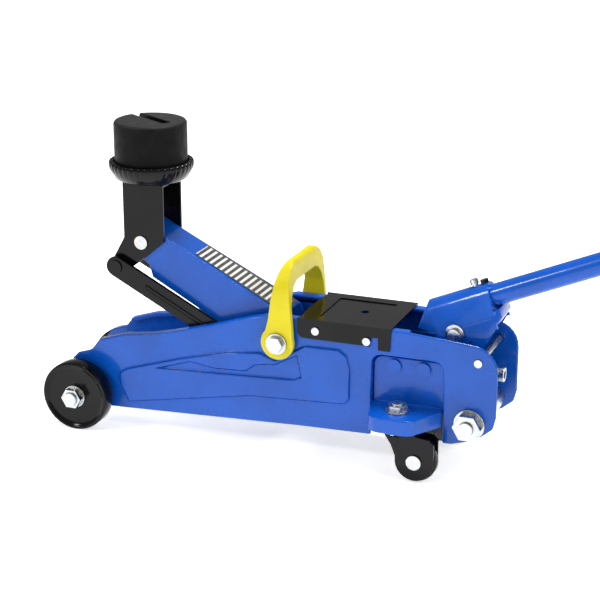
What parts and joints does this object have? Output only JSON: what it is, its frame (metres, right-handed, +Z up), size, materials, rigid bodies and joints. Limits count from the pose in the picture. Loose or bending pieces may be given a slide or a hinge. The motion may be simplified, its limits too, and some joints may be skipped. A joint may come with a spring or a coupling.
{
  "type": "trolley jack",
  "caption": "Hydraulic trolley jack with a lifting arm, levelling saddle with rubber pad, pump handle, swivel casters and a carry handle.",
  "frame": {"origin": "middle of the jack's bounding box, on the floor under the wheels", "axes": "+X from the saddle end towards the handle's grip, +Y to the right-hand side plate, +Z up"},
  "size_m": [0.7826, 0.1348, 0.3262],
  "materials": {
    "blue_paint": "glossy powder coat",
    "black_paint": "glossy",
    "zinc": "bright zinc plate",
    "bright_steel": "ground",
    "casting": "machined casting",
    "cylinder_paint": "satin",
    "brass_nut": "turned",
    "yellow_plastic": "moulded",
    "rubber_black": "matte",
    "label_grey": "printed film",
    "caster_steel": "satin"
  },
  "bodies": {
    "frame": {"side_plate_left": "blue_paint", "side_plate_right": "blue_paint", "pivot_plates": "blue_paint", "front_axle": "zinc", "front_axle_spacer": "zinc", "axle_washers": "zinc", "axle_nuts": "zinc", "rear_tie_rod": "zinc", "rear_tie_spacer": "zinc", "rear_cross_pin": "zinc", "main_shaft": "bright_steel", "link_rear_pins": "bright_steel", "cover_plate": "black_paint", "cover_screws": "zinc", "carry_handle_bolts": "zinc", "caster_bracket_left": "blue_paint", "caster_bracket_right": "blue_paint", "caster_bracket_rivets": "blue_paint", "king_bolts": "zinc", "king_bearings": "zinc", "pump_block": "casting", "reservoir_tank": "casting", "filler_plug": "rubber_black", "cylinder": "cylinder_paint", "gland_nut": "brass_nut", "pump_spring": "zinc", "socket_pivot_pin": "zinc", "socket_cotter_pins": "zinc"},
    "lift_arm": {"lift_arm": "blue_paint", "arm_label": "label_grey"},
    "bracket": {"saddle_bracket": "black_paint", "arm_front_pin": "bright_steel", "link_front_pin": "black_paint"},
    "saddle": {"saddle_cup": "black_paint", "rubber_pad": "rubber_black", "saddle_nut": "bright_steel"},
    "link_left": {"radius_link_left": "black_paint"},
    "link_right": {"radius_link_right": "black_paint"},
    "ram": {"ram_rod": "bright_steel", "crosshead_pin": "bright_steel"},
    "plunger": {"pump_plunger": "bright_steel"},
    "pump_handle": {"handle_socket": "blue_paint", "handle_lock_screw": "zinc", "tube_clip": "black_paint", "handle_tube": "blue_paint", "handle_grip": "rubber_black"},
    "roller": {"pump_roller": "bright_steel"},
    "valve": {"release_valve": "zinc"},
    "yoke_left": {"caster_yoke_left": "black_paint", "caster_axle_left": "zinc"},
    "yoke_right": {"caster_yoke_right": "black_paint", "caster_axle_right": "zinc"},
    "caster_left": {"caster_wheel_left": "caster_steel"},
    "caster_right": {"caster_wheel_right": "caster_steel"},
    "wheel_left": {"front_wheel_left": "black_paint"},
    "wheel_right": {"front_wheel_right": "black_paint"},
    "carry_handle": {"carry_handle": "yellow_plastic"}
  },
  "joints": [
    {"name": "lift", "type": "hinge", "parent": "frame", "child": "lift_arm", "pos_m": [-0.12168, 0, 0.0713], "axis": [0, 1, 0], "range_deg": [-27, 18]},
    {"name": "saddle_level", "type": "hinge", "parent": "lift_arm", "child": "bracket", "pos_m": [-0.30829, 0, 0.16762], "axis": [0, 1, 0], "range_deg": [-18.1, 27.1]},
    {"name": "link_left_swing", "type": "hinge", "parent": "frame", "child": "link_left", "pos_m": [-0.14398, 0, 0.0487], "axis": [0, 1, 0], "range_deg": [-27.1, 18.1]},
    {"name": "link_right_swing", "type": "hinge", "parent": "frame", "child": "link_right", "pos_m": [-0.14398, 0, 0.0487], "axis": [0, 1, 0], "range_deg": [-27.1, 18.1]},
    {"name": "ram_slide", "type": "slide", "parent": "frame", "child": "ram", "axis": [-1, 0, 0], "range_m": [-0.01327, 0.00888]},
    {"name": "saddle_turn", "type": "hinge", "parent": "bracket", "child": "saddle", "pos_m": [-0.30579, 0, 0.21992], "axis": [0, 0, 1], "continuous": true},
    {"name": "pump_stroke", "type": "hinge", "parent": "frame", "child": "pump_handle", "pos_m": [-0.02628, 0, 0.121], "axis": [0, -1, 0], "range_deg": [0, 45]},
    {"name": "plunger_slide", "type": "slide", "parent": "frame", "child": "plunger", "axis": [0, 0, 1], "range_m": [0, 0.0116], "deforming": ["pump_spring"]},
    {"name": "roller_spin", "type": "hinge", "parent": "pump_handle", "child": "roller", "pos_m": [-0.01278, 0, 0.1139], "axis": [0, 1, 0], "continuous": true},
    {"name": "valve_turn", "type": "hinge", "parent": "frame", "child": "valve", "pos_m": [0.00922, 0.009, 0.08], "axis": [1, 0, 0], "range_deg": [-60, 0]},
    {"name": "caster_left_swivel", "type": "hinge", "parent": "frame", "child": "yoke_left", "pos_m": [-0.06528, -0.047, 0.05], "axis": [0, 0, -1], "range_deg": [-3, 183]},
    {"name": "caster_right_swivel", "type": "hinge", "parent": "frame", "child": "yoke_right", "pos_m": [-0.06528, 0.047, 0.05], "axis": [0, 0, 1], "range_deg": [-3, 183]},
    {"name": "caster_left_roll", "type": "hinge", "parent": "yoke_left", "child": "caster_left", "pos_m": [-0.04808, -0.047, 0.018], "axis": [0, 1, 0], "continuous": true},
    {"name": "caster_right_roll", "type": "hinge", "parent": "yoke_right", "child": "caster_right", "pos_m": [-0.04808, 0.047, 0.018], "axis": [0, 1, 0], "continuous": true},
    {"name": "wheel_left_roll", "type": "hinge", "parent": "frame", "child": "wheel_left", "pos_m": [-0.36028, -0.048, 0.031], "axis": [0, 1, 0], "continuous": true},
    {"name": "wheel_right_roll", "type": "hinge", "parent": "frame", "child": "wheel_right", "pos_m": [-0.36028, 0.048, 0.031], "axis": [0, 1, 0], "continuous": true},
    {"name": "carry_handle_fold", "type": "hinge", "parent": "frame", "child": "carry_handle", "pos_m": [-0.17338, 0, 0.1009], "axis": [0, 1, 0], "range_deg": [-30, 26]}
  ],
  "couplings": [
    {"joint": "saddle_level", "follows": "lift", "ratio": -1},
    {"joint": "link_left_swing", "follows": "lift", "ratio": 1},
    {"joint": "link_right_swing", "follows": "lift", "ratio": 1},
    {"joint": "ram_slide", "follows": "lift", "m_per_rad": 0.027957},
    {"joint": "plunger_slide", "follows": "pump_stroke", "m_per_rad": 0.0145}
  ]
}
